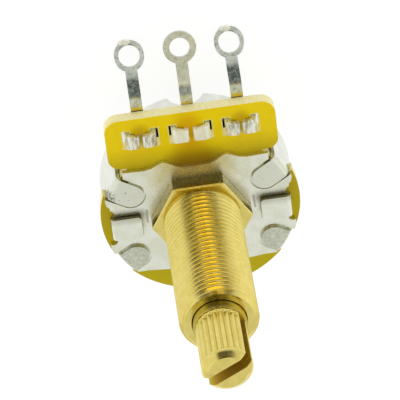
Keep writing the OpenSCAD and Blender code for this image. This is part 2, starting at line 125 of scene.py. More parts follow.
# Outer lug eyes: middle, and the direction of the lug past them; lumps of tin lie on their far edge
EYE_MIDDLE = Vector((0, 18.94, -9.40))
LUG_DIRECTION = Vector((0, 0.617, -0.787))
LUMP_REACH = 1.72
LUMP_SIZE = (0.80, 0.42, 0.44)
LUMP_X = {"left": -6.4, "right": 5.72}

# Crimp slots of the board: middle and half width along X, then along Y
SLOT_COLUMNS = [(2.14, 0.44), (4.29, 0.44), (7.71, 0.44)]
SLOT_Y = 11.5
SLOT_HALF_Y = 1.23

# Marks on the front of the plate, as X and Y: painted highlights along the folds and painted light in
# the middle, between two ends each; painted shade along a crease that both sides have; and a brown spot
PLATE_FOLD_HIGHLIGHTS = [((-2.6, 7.4), (-4.0, 4.6)), ((2.6, 7.2), (4.6, 4.2))]
PLATE_MIDDLE_LIGHT = ((-1.4, 6.6), (1.6, 6.4))
PLATE_CREASE_SHADE = ((6.45, 1.3), (6.55, -0.4))
PLATE_SPOT = (-7.2, -4.46)

# Marks on the can: two pits of its upper left tab with their inner and outer radius, and the rough ear
CAN_PITS = [((-8.71, 4.41, -2.0), 0.05, 0.16), ((-9.63, 3.47, -2.0), 0.03, 0.13)]
CAN_EAR = (-10.93, 3.98, -2.2)

# Zones of the terminals: where the eyes start and the board ends along Y, and the crimps along Z
EYE_Y = (17.2, 17.6)
BOARD_EDGE_Y = 14.5
CRIMP_Z = (-2.9, -2.65)

# Camera: how far its line of sight leans from the shaft axis to the lugs, its turn and its roll
CAMERA_TILT = 36.9
CAMERA_TURN = -1.85
CAMERA_ROLL = -7.25
CAMERA_DISTANCE = 450 * MM
CAMERA_LENS = 336.5
CAMERA_AIM = Vector((0.056, 1.109, -2.931)) * MM

# Floor and the one lamp, in metres and watts
FLOOR_SIZE = 1.5
KEY_PLACE = (-0.5, 0.05, 0.3)
KEY_SIZE = 0.9
KEY_POWER = 0.35

# White of the studio, then soft patches of other colours that the metals mirror:
# direction, inner and outer half angle in degrees, colour
STUDIO_WHITE = (0.86, 0.87, 0.88, 1)
STUDIO_PATCHES = [
    ((0.0, 0.70, 0.71), 12, 20, (0.05, 0.05, 0.04, 1)),
    ((0.28, 0.70, 0.66), 9, 16, (0.12, 0.12, 0.10, 1)),
    ((-0.28, 0.70, 0.66), 9, 16, (0.12, 0.12, 0.10, 1)),
    ((-0.34, 0.40, 0.85), 8, 14, (0.14, 0.13, 0.10, 1)),
    ((0.37, 0.42, 0.83), 7, 13, (0.24, 0.23, 0.18, 1)),
    ((0.05, 0.33, 0.94), 8, 13, (2.10, 1.45, 0.15, 1)),
    ((0.73, -0.18, 0.66), 10, 32, (1.12, 1.13, 1.14, 1)),
    ((0.0, 0.52, 0.855), 5, 9, (0.06, 0.06, 0.05, 1)),
]


# Camera and stage

def make_camera():
    tilt, turn, roll = (math.radians(a) for a in (CAMERA_TILT, CAMERA_TURN, CAMERA_ROLL))
    back = Vector((math.sin(tilt) * math.sin(turn), math.sin(tilt) * math.cos(turn), math.cos(tilt)))
    up = (Vector((0, 1, 0)) - back * back.y).normalized()
    right = up.cross(back)
    rolled_right = math.cos(roll) * right + math.sin(roll) * up
    rolled_up = back.cross(rolled_right)
    data = bpy.data.cameras.new("camera")
    data.lens = CAMERA_LENS
    data.sensor_width = 36
    data.clip_start = 0.02
    data.clip_end = 20
    camera = bpy.data.objects.new("camera", data)
    bpy.context.collection.objects.link(camera)
    axes = Matrix((rolled_right, rolled_up, back)).transposed()
    camera.matrix_world = Matrix.Translation(CAMERA_AIM + back * CAMERA_DISTANCE) @ axes.to_4x4()
    bpy.context.scene.camera = camera


def make_world():
    """A white studio round the object, with the soft patches that its metals mirror."""
    world = bpy.data.worlds.new("studio")
    bpy.context.scene.world = world
    world.use_nodes = True
    tree = world.node_tree
    tree.nodes.clear()
    place = tree.nodes.new("ShaderNodeTexCoord")
    out = tree.nodes.new("ShaderNodeOutputWorld")
    light = tree.nodes.new("ShaderNodeBackground")
    colour = STUDIO_WHITE
    for direction, inner, outer, shade in STUDIO_PATCHES:
        dot = tree.nodes.new("ShaderNodeVectorMath")
        dot.operation = "DOT_PRODUCT"
        dot.inputs[1].default_value = Vector(direction).normalized()
        tree.links.new(place.outputs["Generated"], dot.inputs[0])
        fade = tree.nodes.new("ShaderNodeMapRange")
        fade.interpolation_type = "SMOOTHSTEP"
        fade.inputs["From Min"].default_value = math.cos(math.radians(outer))
        fade.inputs["From Max"].default_value = math.cos(math.radians(inner))
        tree.links.new(dot.outputs["Value"], fade.inputs["Value"])
        mix = tree.nodes.new("ShaderNodeMix")
        mix.data_type = "RGBA"
        tree.links.new(fade.outputs["Result"], mix.inputs["Factor"])
        if isinstance(colour, tuple):
            mix.inputs["A"].default_value = colour
        else:
            tree.links.new(colour, mix.inputs["A"])
        mix.inputs["B"].default_value = shade
        colour = mix.outputs["Result"]
    tree.links.new(colour, light.inputs["Color"])
    tree.links.new(light.outputs["Background"], out.inputs["Surface"])


def area_light(name, place, aim, size, power):
    data = bpy.data.lights.new(name, "AREA")
    data.shape = "DISK"
    data.size = size
    data.energy = power
    light = bpy.data.objects.new(name, data)
    bpy.context.collection.objects.link(light)
    light.location = place
    light.rotation_euler = (Vector(aim) - Vector(place)).to_track_quat("-Z", "Y").to_euler()


def make_stage():
    bpy.ops.mesh.primitive_plane_add(size=FLOOR_SIZE, location=(0, 0, cad_box[0].z))
    floor = bpy.context.object
    floor.name = "floor"
    floor.data.materials.append(floor_paper())
    area_light("key", KEY_PLACE, (0, 0, 0), KEY_SIZE, KEY_POWER)


# Materials

class Look:
    """A procedural material in the making. Its coordinates are the object's, in millimetres."""

    def __init__(self, name, metallic=0.0, **sockets):
        self.material = bpy.data.materials.new(name)
        self.material.use_nodes = True
        self.tree = self.material.node_tree
        self.shader = self.tree.nodes["Principled BSDF"]
        self.shader.inputs["Metallic"].default_value = metallic
        for socket, value in sockets.items():
            self.shader.inputs[socket.replace("_", " ")].default_value = value
        place = self.node("ShaderNodeTexCoord")
        scale = self.node("ShaderNodeMapping")
        scale.inputs["Scale"].default_value = (1 / MM,) * 3
        self.link(place.outputs["Object"], scale.inputs["Vector"])
        self.place = scale.outputs["Vector"]

    def node(self, kind):
        return self.tree.nodes.new(kind)

    def link(self, source, socket):
        self.tree.links.new(source, socket)

    def noise(self, scale, detail=3.0, stretch=(1, 1, 1), offset=(0, 0, 0)):
        """Noise from 0 to 1. scale is in features for each millimetre."""
        spread = self.node("ShaderNodeMapping")
        spread.inputs["Scale"].default_value = stretch
        spread.inputs["Location"].default_value = offset
        self.link(self.place, spread.inputs["Vector"])
        texture = self.node("ShaderNodeTexNoise")
        texture.inputs["Scale"].default_value = scale
        texture.inputs["Detail"].default_value = detail
        texture.inputs["Roughness"].default_value = 0.55
        self.link(spread.outputs["Vector"], texture.inputs["Vector"])
        return texture.outputs["Fac"]

    def spread(self, source, low, high, to_low=0.0, to_high=1.0, smooth=True):
        """source, mapped from low..high to to_low..to_high and kept inside it."""
        fit = self.node("ShaderNodeMapRange")
        fit.interpolation_type = "SMOOTHSTEP" if smooth else "LINEAR"
        fit.inputs["From Min"].default_value = low
        fit.inputs["From Max"].default_value = high
        fit.inputs["To Min"].default_value = to_low
        fit.inputs["To Max"].default_value = to_high
        self.link(source, fit.inputs["Value"])
        return fit.outputs["Result"]

    def math(self, operation, a, b=0.0):
        node = self.node("ShaderNodeMath")
        node.operation = operation
        for socket, value in zip(node.inputs, (a, b)):
            if isinstance(value, (int, float)):
                socket.default_value = value
            else:
                self.link(value, socket)
        return node.outputs["Value"]

    def mix(self, factor, a, b):
        """Colour a where factor is 0 and colour b where it is 1. Either may be an output."""
        node = self.node("ShaderNodeMix")
        node.data_type = "RGBA"
        self.link(factor, node.inputs["Factor"])
        for socket, value in (("A", a), ("B", b)):
            if isinstance(value, tuple):
                node.inputs[socket].default_value = (*value, 1)
            else:
                self.link(value, node.inputs[socket])
        return node.outputs["Result"]

    def axis(self, letter):
        parts = self.node("ShaderNodeSeparateXYZ")
        self.link(self.place, parts.inputs["Vector"])
        return parts.outputs[letter]

    def spot(self, centre, inner, outer):
        """1 inside a ball round centre, falling to 0 at the outer radius, in millimetres."""
        away = self.node("ShaderNodeVectorMath")
        away.operation = "DISTANCE"
        self.link(self.place, away.inputs[0])
        away.inputs[1].default_value = centre
        return self.spread(away.outputs["Value"], inner, outer, 1.0, 0.0)

    def stroke(self, start, stop, inner, outer):
        """1 within the inner distance of a straight line from start to stop, 0 past the outer one."""
        start, stop = Vector(start), Vector(stop)
        along = stop - start
        reach = self.node("ShaderNodeVectorMath")
        reach.operation = "SUBTRACT"
        self.link(self.place, reach.inputs[0])
        reach.inputs[1].default_value = start
        share = self.node("ShaderNodeVectorMath")
        share.operation = "DOT_PRODUCT"
        self.link(reach.outputs["Vector"], share.inputs[0])
        share.inputs[1].default_value = along / along.length_squared
        nearest = self.node("ShaderNodeVectorMath")
        nearest.operation = "SCALE"
        nearest.inputs[0].default_value = along
        self.link(self.spread(share.outputs["Value"], 0, 1, smooth=False), nearest.inputs["Scale"])
        away = self.node("ShaderNodeVectorMath")
        away.operation = "DISTANCE"
        self.link(reach.outputs["Vector"], away.inputs[0])
        self.link(nearest.outputs["Vector"], away.inputs[1])
        return self.spread(away.outputs["Value"], inner, outer, 1.0, 0.0)

    def paint(self, colour, tint, mask, strength=1.0, mottle=None):
        """Lays a tint over a colour where the mask is 1, broken up by a mottle if there is one."""
        amount = self.math("MULTIPLY", mask, strength)
        if mottle is not None:
            amount = self.math("MULTIPLY", amount, mottle)
        return self.mix(amount, colour, tint)

    def facing(self, direction, low, high):
        """1 on faces that look along a direction, from the low to the high cosine."""
        surface = self.node("ShaderNodeNewGeometry")
        dot = self.node("ShaderNodeVectorMath")
        dot.operation = "DOT_PRODUCT"
        self.link(surface.outputs["Normal"], dot.inputs[0])
        dot.inputs[1].default_value = Vector(direction).normalized()
        return self.spread(dot.outputs["Value"], low, high)

    def band(self, letter, low, high, soft):
        """1 between two values along an axis, with soft ends."""
        value = self.axis(letter)
        rise = self.spread(value, low - soft, low + soft)
        fall = self.spread(value, high - soft, high + soft, 1.0, 0.0)
        return self.math("MULTIPLY", rise, fall)

    def finish(self, colour, roughness, bump=None, bump_mm=0.01):
        """The finished material. bump is a height from 0 to 1, and bump_mm is what 1 stands for."""
        self.link(colour, self.shader.inputs["Base Color"])
        self.link(roughness, self.shader.inputs["Roughness"])
        if bump is not None:
            node = self.node("ShaderNodeBump")
            node.inputs["Strength"].default_value = 0.5
            node.inputs["Distance"].default_value = bump_mm * MM
            self.link(bump, node.inputs["Height"])
            self.link(node.outputs["Normal"], self.shader.inputs["Normal"])
        return self.material


def floor_paper():
    look = Look("floor_paper", Emission_Color=(1, 1, 1, 1), Emission_Strength=0.82)
    grain = look.noise(2.0)
    colour = look.mix(grain, (0.24, 0.24, 0.24), (0.27, 0.27, 0.27))
    return look.finish(colour, look.spread(grain, 0, 1, 0.85, 0.95))


def brass_look(name):
    """What both turned pieces share: the look, its fine noise, its colour and its roughness."""
    look = Look(name, metallic=1.0)
    cloud = look.noise(0.9)
    fine = look.noise(9.0, detail=4)
    colour = look.mix(look.spread(cloud, 0.35, 0.65), (0.71, 0.575, 0.15), (0.77, 0.64, 0.19))
    shift = look.spread(cloud, 0.3, 0.7, -0.03, 0.05)
    rough = look.math("ADD", look.spread(fine, 0.3, 0.7, 0.13, 0.22), shift)
    return look, fine, colour, rough


def bushing_brass():
    """Brass with a few dark specks and with painted shade on the side walls of the hexagon."""
    look, fine, colour, rough = brass_look("bushing_brass")
    speck = look.spread(look.noise(5.0, detail=5, offset=(4, 1, 7)), 0.64, 0.74)
    colour = look.mix(look.math("MULTIPLY", speck, 0.5), colour, (0.30, 0.23, 0.05))
    # Painted shade on the side walls of the hexagon, darker on the upper side
    wall_shade = look.math("MULTIPLY", look.band("Z", -2.3, -0.12, 0.06), look.facing((0, 0, 1), 0.6, 0.3))
    upper = look.spread(look.axis("Y"), -3, 3, 0.35, 0.9)
    mottle = look.spread(look.noise(3.5, detail=4), 0.3, 0.6, 0.5, 1.0)
    colour = look.paint(colour, (0.24, 0.205, 0.085), look.math("MULTIPLY", wall_shade, upper), 1.0, mottle)
    return look.finish(colour, rough, fine, 0.012)


def shaft_brass():
    """Brass with painted shade on the collar, in the valleys of the knurl and at the valley ends, and
    rough walls in the saw slot."""
    look, fine, colour, rough = brass_look("shaft_brass")
    # Painted shade on the collar and on the shaft just inside the bore
    collar = look.band("Z", BUSHING_LEN - 1, COLLAR_Z + 0.06, 0.03)
    colour = look.paint(colour, (0.52, 0.45, 0.13), collar, 0.8)
    around = look.math("ARCTAN2", look.axis("Y"), look.axis("X"))
    turned = look.math("SUBTRACT", around, KNURL_TURN)
    wave = look.math("COSINE", look.math("MULTIPLY", turned, KNURL_COUNT))
    knurl = look.band("Z", COLLAR_Z + 0.1, KNURL_TOP_Z + 0.05, 0.05)
    # Painted shade in the valleys of the knurl
    groove = look.math("MULTIPLY", look.spread(wave, -0.3, 1.0), knurl)
    colour = look.paint(colour, (0.50, 0.41, 0.09), groove, 0.55)
    # Painted shade where the valleys of the knurl end at the cone
    ends = look.band("Z", KNURL_TOP_Z - TOOTH_FADE, KNURL_TOP_Z + 0.02, 0.08)
    valley_end_shade = look.math("MULTIPLY", look.spread(wave, 0.5, 1.0), ends)
    colour = look.paint(colour, (0.20, 0.17, 0.05), valley_end_shade, 0.7)
    across = math.radians(SLOT_ANGLE + 90)
    dot = look.node("ShaderNodeVectorMath")
    dot.operation = "DOT_PRODUCT"
    look.link(look.place, dot.inputs[0])
    dot.inputs[1].default_value = (math.cos(across), math.sin(across), 0)
    off = look.math("ABSOLUTE", dot.outputs["Value"])
    sawn = look.spread(off, SLOT_W / 2, SLOT_W / 2 + 0.04, 1.0, 0.0)
    colour = look.paint(colour, (0.66, 0.49, 0.06), sawn, 1.0)
    rough = look.math("ADD", rough, look.math("MULTIPLY", sawn, 0.3))
    return look.finish(colour, rough, fine, 0.012)


def nickel_tone(look, low, high):
    """A metal's tone that drifts between two colours over a few millimetres."""
    cloud = look.noise(0.6)
    return look.mix(look.spread(cloud, 0.35, 0.65), low, high)


def plated_steel():
    """Nickel plate with the soft shades of its stamped forms painted in: painted highlights, painted
    light and painted shade.
    """
    look = Look("plated_steel", metallic=1.0)
    fine = look.noise(7.0, detail=5)
    colour = nickel_tone(look, (0.74, 0.75, 0.59), (0.81, 0.82, 0.70))
    z = -HEX_H
    # Painted highlights along the folds of the plate
    for crest, corner in PLATE_FOLD_HIGHLIGHTS:
        fold_highlight = look.stroke((*crest, z), (*corner, z), 0.1, 0.9)
        colour = look.paint(colour, (0.95, 0.95, 0.86), fold_highlight, 0.75)
    mottle = look.spread(look.noise(0.9, detail=4), 0.3, 0.6, 0.55, 1.0)
    # Painted light in the middle of the plate between the two folds
    left, right = PLATE_MIDDLE_LIGHT
    middle = look.stroke((*left, z), (*right, z), 0.3, 1.1)
    colour = look.paint(colour, (0.92, 0.89, 0.60), middle, 0.85, mottle)
    for side in (-1, 1):
        inner, outer, top, foot = PAD_IN * side, PAD_OUT * side, PAD_TOP, PAD_FOOT
        # Painted shade above each pad's top edge and next to its inner end
        shade = look.stroke((inner, top, z), (outer, top, z), 0.0, 1.3)
        colour = look.paint(colour, (0.18, 0.17, 0.11), shade, 0.7)
        beside_shade = look.stroke((inner, top, z), (inner, -0.8, z), 0.05, 0.6)
        colour = look.paint(colour, (0.30, 0.29, 0.20), beside_shade, 0.5)
        for ends in (((inner, foot, z), (outer, foot, z)), ((inner, foot, z), (inner, top, z))):
            colour = look.paint(colour, (0.30, 0.20, 0.05), look.stroke(*ends, 0.03, 0.14), 0.6)
        # Painted shade line along the crease
        (top_x, top_y), (low_x, low_y) = PLATE_CREASE_SHADE
        crease = look.stroke((top_x * side, top_y, z), (low_x * side, low_y, z), 0.0, 0.22)
        colour = look.paint(colour, (0.22, 0.22, 0.15), crease, 0.7)
    colour = look.paint(colour, (0.25, 0.17, 0.06), look.spot((*PLATE_SPOT, z), 0.05, 0.35), 0.8)
    rough = look.spread(fine, 0.3, 0.7, 0.24, 0.36)
    return look.finish(colour, rough, fine, 0.02)


def can_steel():
    """Drawn steel, darker on the two lower tabs, pitted on the upper left one and rough at its ear."""
    look = Look("can_steel", metallic=1.0)
    fine = look.noise(7.0, detail=5)
    colour = nickel_tone(look, (0.74, 0.76, 0.69), (0.82, 0.84, 0.78))
    front = look.spread(look.axis("Z"), -2.6, -2.3)
    tabs = look.mix(look.noise(1.5), (0.66, 0.67, 0.54), (0.76, 0.77, 0.65))
    colour = look.mix(front, colour, tabs)
    # The two lower tabs are darker
    lower = look.math("MULTIPLY", front, look.spread(look.axis("Y"), -2.0, -3.0))
    lower_tab_cloud = look.spread(look.noise(2.5, detail=5), 0.3, 0.7)
    lower_tab_tone = look.mix(lower_tab_cloud, (0.46, 0.47, 0.36), (0.64, 0.65, 0.52))
    colour = look.mix(look.math("MULTIPLY", lower, 0.9), colour, lower_tab_tone)
    first, second = (look.spot(*pit) for pit in CAN_PITS)
    pits = look.math("MAXIMUM", first, second)
    dots = look.spread(look.noise(4.5, detail=2, offset=(3, 3, 3)), 0.70, 0.74)
    pits = look.math("MAXIMUM", pits, look.math("MULTIPLY", dots, front))
    colour = look.paint(colour, (0.10, 0.09, 0.06), pits, 0.8)
    ear = look.spot(CAN_EAR, 0.5, 1.3)
    grit = look.spread(look.noise(3.5, detail=6), 0.40, 0.60)
    colour = look.paint(colour, (0.16, 0.15, 0.11), ear, 0.85, grit)
    rough = look.spread(fine, 0.3, 0.7, 0.28, 0.40)
    bump = look.math("ADD", fine, look.math("MULTIPLY", look.math("MULTIPLY", ear, grit), 3.0))
    return look.finish(colour, rough, bump, 0.02)


def tin_plate(name, lug_shade, lug_shade_strength, board_reflection_end, seam_shadow_strength, crimp_tones, crimp_metal, striation,
              eye_grey):
    """Tin on a terminal: a dark mottled band of painted shade on its lug, given as an axis, two ends
    and a softness; a greyer eye with painted shade on its walls that face -Y; a yellow painted
    reflection of the board at its foot, with a painted contact shadow along the board's edge; and
    crimps of their own tones, with striations along Y."""
    look = Look(name, metallic=1.0)
    cloud = look.noise(1.2)
    fine = look.noise(8.0, detail=5)
    colour = look.mix(look.spread(cloud, 0.35, 0.65), (0.58, 0.62, 0.52), (0.74, 0.77, 0.68))
    patch = look.spread(look.noise(2.4, detail=5, offset=(2, 5, 1)), 0.52, 0.68)
    colour = look.paint(colour, (0.16, 0.18, 0.15), patch, 0.6)
    # Painted shade: a dark mottled band along the lug
    dark = look.band(*lug_shade)
    mottle = look.spread(look.noise(2.6, detail=5), 0.38, 0.58, 0.78, 1.0)
    colour = look.paint(colour, (0.05, 0.065, 0.055), dark, lug_shade_strength, mottle)
    eye = look.spread(look.axis("Y"), *EYE_Y)
    # Painted shade on the eye's walls that face -Y
    wall_shade = look.math("MULTIPLY", eye, look.facing((0, -1, 0), 0.25, 0.6))
    colour = look.paint(colour, (0.44, 0.48, 0.42), eye, eye_grey)
    colour = look.paint(colour, (0.10, 0.13, 0.11), wall_shade, 0.85)
    # Painted reflection of the yellow board on the foot of the terminal
    colour = look.paint(colour, (0.80, 0.60, 0.05), look.band("Y", BOARD_EDGE_Y, board_reflection_end, 0.05), 0.9)
    # Painted contact shadow along the board's edge
    seam_shadow = look.band("Y", BOARD_EDGE_Y - 0.14, BOARD_EDGE_Y + 0.02, 0.03)
    colour = look.paint(colour, (0.03, 0.025, 0.01), seam_shadow, seam_shadow_strength)
    crimp = look.spread(look.axis("Z"), *CRIMP_Z)
    lines = look.noise(1.6, detail=4, stretch=(2.2, 0.5, 1.0))
    tab = look.mix(look.spread(lines, 0.3, 0.6), *crimp_tones)
    colour = look.mix(crimp, colour, tab)
    rough = look.spread(fine, 0.3, 0.7, 0.34, 0.48)
    metal = look.spread(look.axis("Z"), *CRIMP_Z, 1.0, crimp_metal)
    look.link(metal, look.shader.inputs["Metallic"])
    bump = look.math("ADD", fine, look.math("MULTIPLY", look.math("MULTIPLY", lines, crimp), striation))
    return look.finish(colour, rough, bump, 0.02)


def bright_tin():
    """The uneven lumps of tin on the outer eyes."""
    look = Look("bright_tin", metallic=0.4)
    fine = look.noise(5.0, detail=4)
    colour = look.mix(look.spread(fine, 0.3, 0.6), (0.74, 0.74, 0.60), (0.96, 0.96, 0.86))
    return look.finish(colour, look.spread(fine, 0.3, 0.7, 0.35, 0.5), fine, 0.03)


def yellow_laminate():
    """Saturated yellow faces with painted shade: darker and browner near the plate, towards the bottom,
    between the middle slots and between the outer slot pairs. Cream cut edges and cream rims round
    the six slots, whose walls glow faintly with painted light."""
    look = Look("yellow_laminate", Specular_IOR_Level=0.12)
    fine = look.noise(10.0, detail=4)
    cloud = look.noise(0.5)
    z = -HEX_H - PLATE_T
    face = look.mix(look.spread(cloud, 0.3, 0.7), (0.88, 0.66, 0.0015), (0.92, 0.70, 0.002))
    # Painted shade near the plate
    near = look.spread(look.axis("Y"), 6.5, 11.0, 1.0, 0.0)
    face = look.paint(face, (0.42, 0.32, 0.008), near, 0.75)
    # Painted shade between the middle slots
    between = look.stroke((-0.3, 12.6, z), (-0.3, 10.0, z), 0.3, 2.6)
    face = look.paint(face, (0.70, 0.36, 0.001), between, 0.7)
    shadow = look.stroke((-1.0, 6.6, z), (1.0, 6.6, z), 0.6, 3.6)
    face = look.paint(face, (0.24, 0.12, 0.002), shadow, 0.85)
    # Painted shade between each pair of outer slots
    for centre in (-6.0, 6.0):
        pair_gap_shade = look.spot((centre, 12.6, z), 0.2, 1.5)
        face = look.paint(face, (0.55, 0.33, 0.002), pair_gap_shade, 0.6)
    # Painted shade, darker towards the bottom
    lower_shade = look.spread(look.axis("Y"), -4.0, 3.0, 1.0, 0.0)
    face = look.paint(face, (0.52, 0.43, 0.002), lower_shade, 0.8)
    grain = look.spread(look.noise(2.5, detail=4, stretch=(1, 1, 3)), 0.35, 0.65)
    edge = look.mix(grain, (0.90, 0.78, 0.30), (0.98, 0.94, 0.60))
    x = look.math("ABSOLUTE", look.axis("X"))
    y = look.axis("Y")
    rim = None
    for centre_x, half_x in SLOT_COLUMNS:
        off_x = look.math("ABSOLUTE", look.math("SUBTRACT", x, centre_x))
        off_y = look.math("ABSOLUTE", look.math("SUBTRACT", y, SLOT_Y))
        past_x = look.math("SUBTRACT", off_x, half_x)
        past_y = look.math("SUBTRACT", off_y, SLOT_HALF_Y)
        away = look.math("MAXIMUM", past_x, past_y)
        rim = away if rim is None else look.math("MINIMUM", rim, away)
    ragged = look.math("ADD", rim, look.spread(look.noise(4.0), 0.3, 0.7, -0.05, 0.05))
    face = look.mix(look.spread(ragged, 0.05, 0.16, 0.85, 0.0), face, (0.86, 0.80, 0.40))
    upright = look.math("SUBTRACT", 1.0, look.facing((0, 0, 1), 0.3, 0.8))
    colour = look.mix(upright, face, edge)
    # Painted light: a faint glow from the walls inside the slots
    inside = look.spread(rim, 0.0, 0.02, 1.0, 0.0)
    glow = look.math("MULTIPLY", look.math("MULTIPLY", upright, inside), 0.22)
    look.link(colour, look.shader.inputs["Emission Color"])
    look.link(glow, look.shader.inputs["Emission Strength"])
    return look.finish(colour, look.spread(fine, 0.3, 0.7, 0.30, 0.42), fine, 0.006)


def black_carbon():
    look = Look("black_carbon")
    fine = look.noise(12.0)
    colour = look.mix(fine, (0.012, 0.012, 0.014), (0.03, 0.03, 0.032))
    return look.finish(colour, look.spread(fine, 0.3, 0.7, 0.5, 0.7), fine, 0.01)


def brown_moulding():
    look = Look("brown_moulding")
    fine = look.noise(6.0)
    colour = look.mix(fine, (0.06, 0.03, 0.015), (0.09, 0.045, 0.02))
    return look.finish(colour, look.spread(fine, 0.3, 0.7, 0.35, 0.5), fine, 0.01)


def spring_bronze():
    look = Look("spring_bronze", metallic=1.0)
    fine = look.noise(6.0)
    colour = look.mix(fine, (0.75, 0.45, 0.22), (0.83, 0.52, 0.28))
    return look.finish(colour, look.spread(fine, 0.3, 0.7, 0.25, 0.35), fine, 0.01)


def dark_ring_steel():
    look = Look("dark_ring_steel", metallic=1.0)
    fine = look.noise(6.0)
    colour = look.mix(fine, (0.45, 0.45, 0.45), (0.55, 0.55, 0.54))
    return look.finish(colour, look.spread(fine, 0.3, 0.7, 0.3, 0.45), fine, 0.01)


# Meshes

def new_piece(name, vertices, faces, material, body, node=None, sharp=SHARP_TURNED):
    """A mesh object from points in millimetres, on a body and standing for a CAD node."""
    mesh = bpy.data.meshes.new(name)
    mesh.from_pydata([Vector(v) * MM for v in vertices], [], faces)
    mesh.materials.append(material)
    mesh.update()
    piece = bpy.data.objects.new(name, mesh)
    bpy.context.collection.objects.link(piece)
    tidy(mesh)
    shade(mesh, sharp)
    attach(piece, body)
    if node:
        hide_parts(node)
    return piece


def tidy(mesh):
    """Joins points that coincide, drops faces with no area and turns all faces outwards."""
    work = bmesh.new()
    work.from_mesh(mesh)
    bmesh.ops.remove_doubles(work, verts=work.verts, dist=1e-3 * MM)
    bmesh.ops.dissolve_degenerate(work, edges=work.edges, dist=1e-4 * MM)
    bmesh.ops.recalc_face_normals(work, faces=work.faces)
    work.to_mesh(mesh)
    work.free()


def shade(mesh, angle):
    mesh.shade_smooth()
    mesh.set_sharp_from_angle(angle=math.radians(angle))


def lathe(rows, count, caps=True):
    """Points and faces of a stack of rings. A row is (z, radius), where radius may be a function of
    the angle. Both ends get a cap, unless caps is False."""
    vertices = []
    for z, radius in rows:
        for i in range(count):
            angle = 2 * math.pi * i / count
            r = radius(angle) if callable(radius) else radius
            vertices.append((r * math.cos(angle), r * math.sin(angle), z))
    faces = []
    for j in range(len(rows) - 1):
        low, high = j * count, (j + 1) * count
        for i in range(count):
            k = (i + 1) % count
            faces.append((low + i, low + k, high + k, high + i))
    if caps:
        faces.append(tuple(range(count)))
        faces.append(tuple((len(rows) - 1) * count + i for i in range(count)))
    return vertices, faces


def smooth_step(x):
    x = min(max(x, 0.0), 1.0)
    return x * x * (3 - 2 * x)


def hex_radius(apothem, corner):
    """Radius of a hexagon with corners on the X axis, which are cut off at the corner radius."""
    def radius(angle):
        side = angle % (math.pi / 3) - math.pi / 6
        return min(apothem / math.cos(side), corner)
    return radius


def thread_ring(turn, share, radius, count):
    """One ring of points that climbs along the right-hand thread. turn counts the turns from the
    hexagon, and share says where in the pitch the ring starts. The thread fades out at the hexagon
    and is cut by the chamfer at the end."""
    points = []
    for i in range(count):
        z = THREAD_PITCH * (turn + share + i / count)
        inside = min(max(z, 0.0), BUSHING_LEN)
        depth = (THREAD_R - radius) * smooth_step(inside / 0.5)
        cut = max(0, inside - (BUSHING_LEN - END_CHAMFER_LEN))
        chamfer = THREAD_R - cut * END_CHAMFER / END_CHAMFER_LEN
        points.append((inside, min(THREAD_R - depth, chamfer), 2 * math.pi * i / count))
    return points


def thread_surface(count):
    """Points and faces of the threaded barrel, from the hexagon to the rim of the end face."""
    half_flank = THREAD_DEPTH * math.tan(math.radians(30)) / THREAD_PITCH
    crest = 0.5 - half_flank - THREAD_ROOT / 2
    profile = [
        (0.0, THREAD_R), (crest * 0.8, THREAD_R), (crest, THREAD_R - 0.012),
        (crest + 0.06, THREAD_R - 0.012 - 0.06 * THREAD_DEPTH / half_flank),
        (crest + half_flank - 0.03, THREAD_R - THREAD_DEPTH + 0.03), (0.5, THREAD_R - THREAD_DEPTH),
    ]
    profile += [(1 - share, radius) for share, radius in reversed(profile[1:-1])]
    turns = range(-1, math.ceil(BUSHING_LEN / THREAD_PITCH) + 1)
    rings = [thread_ring(turn, share, radius, count) for turn in turns for share, radius in profile]
    vertices = [(r * math.cos(a), r * math.sin(a), z) for ring in rings for z, r, a in ring]
    a_turn = len(profile)
    faces = []
    for j in range(len(rings) - 1 - a_turn):
        for i in range(count):
            k = (i + 1) % count
            low = j if k else j + a_turn
            faces.append((j * count + i, low * count + k, (low + 1) * count + k, (j + 1) * count + i))
    return vertices, faces


def make_bushing(material):
    """The bushing from its staked tail to the end face, with the thread that its solid leaves out."""
    plate_z = -HEX_H
    board_z = plate_z - PLATE_T
    stake_z = board_z - STAKE_T
    corner = HEX_APOTHEM / math.cos(math.pi / 6) - 0.05
    hexagon = [(plate_z, 0.10), (plate_z + 0.10, 0.0), (-0.16, 0.0), (-0.10, 0.015)]
    hexagon += [(-0.04, 0.06), (0.0, 0.15)]
    face_r = THREAD_R - END_CHAMFER
    rows = [(BUSHING_LEN, face_r), (BUSHING_LEN, BORE_R + 0.05), (BUSHING_LEN - 0.05, BORE_R)]
    rows += [(stake_z + 0.1, BORE_R), (stake_z, BORE_R + 0.1)]
    rows += [(stake_z, STAKE_R - 0.12), (stake_z + 0.04, STAKE_R - 0.03), (stake_z + 0.12, STAKE_R)]
    rows += [(board_z, STAKE_R), (board_z, TAIL_R), (plate_z, TAIL_R)]
    rows += [(z, hex_radius(HEX_APOTHEM - inset, corner - inset)) for z, inset in hexagon]
    rows += [(0.0, THREAD_R + 0.12), (0.0, THREAD_R)]
    vertices, faces = lathe(rows, BUSHING_POINTS, caps=False)
    barrel, barrel_faces = thread_surface(BUSHING_POINTS)
    shift = len(vertices)
    vertices += barrel
    faces += [tuple(index + shift for index in face) for face in barrel_faces]
    new_piece("bushing_body", vertices, faces, material, "housing", "bushing", SHARP_CUT)


